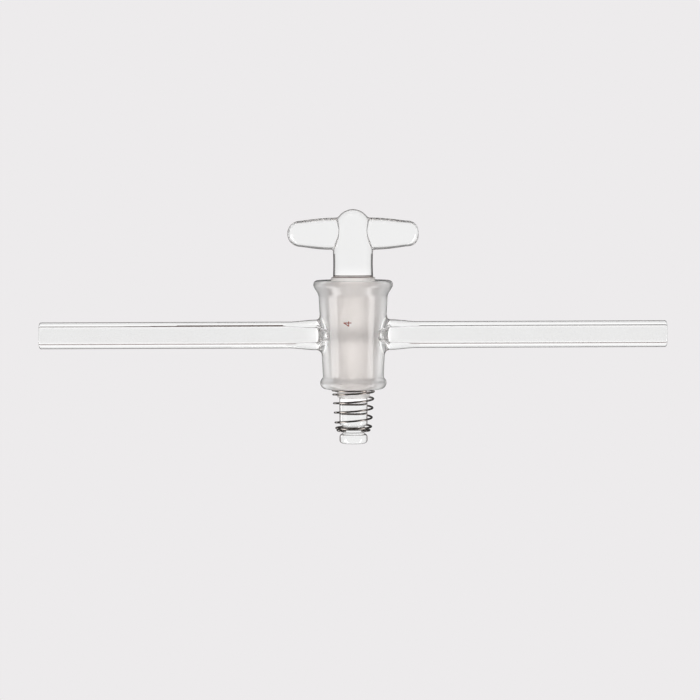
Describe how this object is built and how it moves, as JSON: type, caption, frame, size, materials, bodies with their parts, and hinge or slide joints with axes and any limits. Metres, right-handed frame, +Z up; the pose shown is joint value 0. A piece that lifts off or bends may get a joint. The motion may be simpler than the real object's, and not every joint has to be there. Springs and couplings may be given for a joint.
{
  "type": "glass stopcock",
  "caption": "Straight two-way glass stopcock: ground taper plug with a T-handle in a collared barrel, plain tube arms in line, wire spring and clip under the barrel.",
  "frame": {"origin": "where the arms' axis crosses the plug's axis, at the middle of the plug's cross bore", "axes": "+X along the arms, +Y along the plug towards its handle, +Z up out of the surface that the stopcock lies on"},
  "size_m": [0.224, 0.0837, 0.0284],
  "materials": {
    "barrel_glass": "clear, with a ground bore",
    "plug_glass": "clear handle and tail, ground taper",
    "spring_steel": "bright drawn wire",
    "clip_steel": "bright drawn wire"
  },
  "bodies": {
    "barrel": {"barrel": "barrel_glass"},
    "spring": {"spring": "spring_steel"},
    "plug": {"plug": "plug_glass", "retaining_clip": "clip_steel"}
  },
  "joints": [
    {"name": "plug_lift", "type": "slide", "parent": "barrel", "child": "spring", "axis": [0, 1, 0], "range_m": [0, 0.006], "stiffness_N_per_m": 200, "springref_m": -0.008, "deforming": ["spring"]},
    {"name": "plug_turn", "type": "hinge", "parent": "spring", "child": "plug", "pos_m": [0, 0, 0], "axis": [0, 1, 0], "continuous": true}
  ]
}
